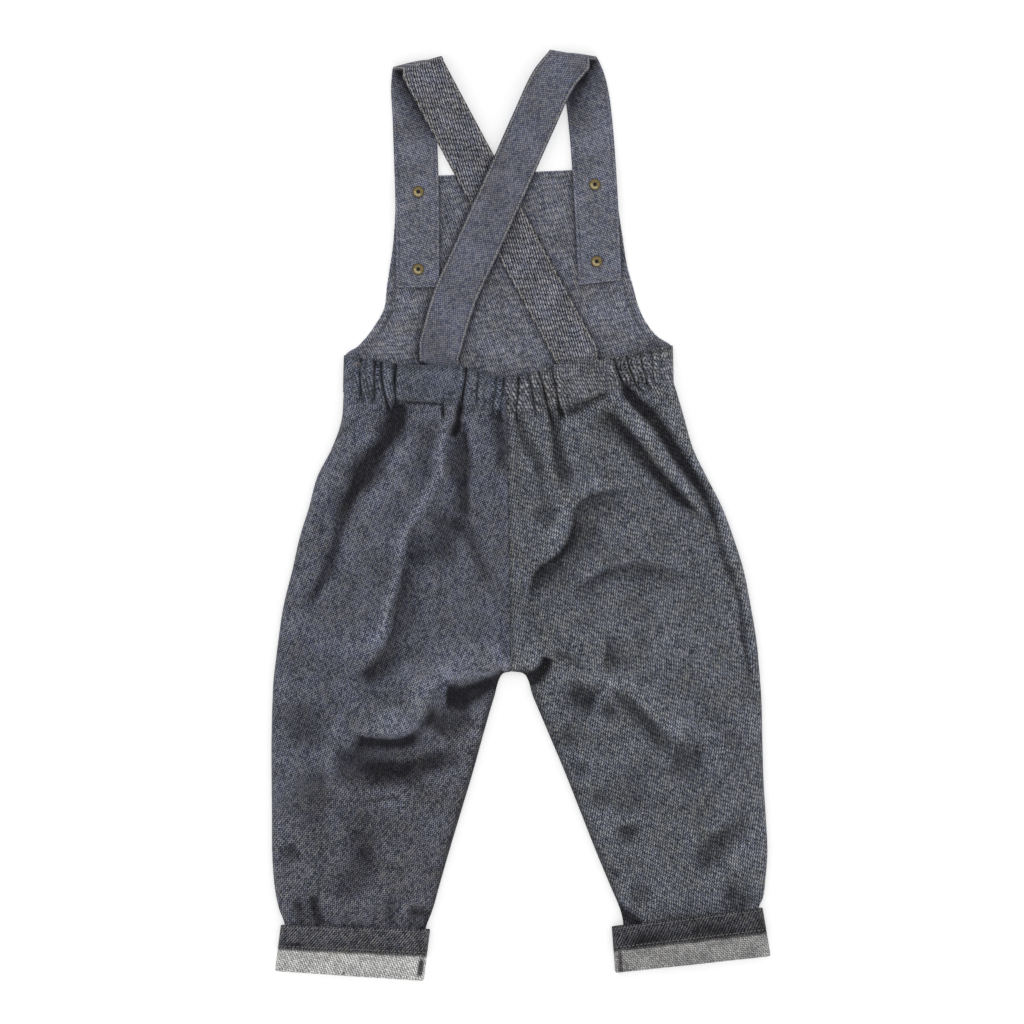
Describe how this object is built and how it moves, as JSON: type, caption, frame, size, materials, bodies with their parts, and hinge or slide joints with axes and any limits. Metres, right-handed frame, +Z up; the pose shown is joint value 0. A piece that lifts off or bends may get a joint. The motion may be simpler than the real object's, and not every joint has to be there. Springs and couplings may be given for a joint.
{
  "type": "kids dungarees laid flat",
  "caption": "Child's twill dungarees laid flat on their front: bib, crossed straps folded over at the shoulder, gathered back waist, full legs, turned-up hems, brass tack buttons",
  "frame": {"origin": "the middle of the laid-out garment's box in plan, on the surface it lies on", "axes": "+X to the wearer's right, +Y towards the shoulders, +Z up out of the surface, with the garment's back facing up"},
  "size_m": [0.3738, 0.6981, 0.0133],
  "materials": {
    "leg_twill": "matt slate blue-grey twill with light flecks, right side",
    "casing_twill": "matt slate blue-grey twill, gathered over elastic",
    "bib_twill": "matt slate blue-grey twill, the bib's inside",
    "strap_twill": "matt slate blue-grey twill, edge stitched",
    "cuff_twill": "matt pale grey wrong side of the twill, with a dark hem allowance round its top",
    "button_brass": "aged brass, satin"
  },
  "bodies": {
    "root": {"front_bib": "bib_twill", "front_leg_left": "leg_twill", "front_leg_right": "leg_twill", "back_leg_left": "leg_twill", "back_leg_right": "leg_twill", "back_waist_casing": "casing_twill", "strap_left": "strap_twill", "strap_right": "strap_twill", "cuff_left": "cuff_twill", "cuff_right": "cuff_twill", "button_left_upper": "button_brass", "button_left_lower": "button_brass", "button_right_upper": "button_brass", "button_right_lower": "button_brass"}
  },
  "joints": []
}
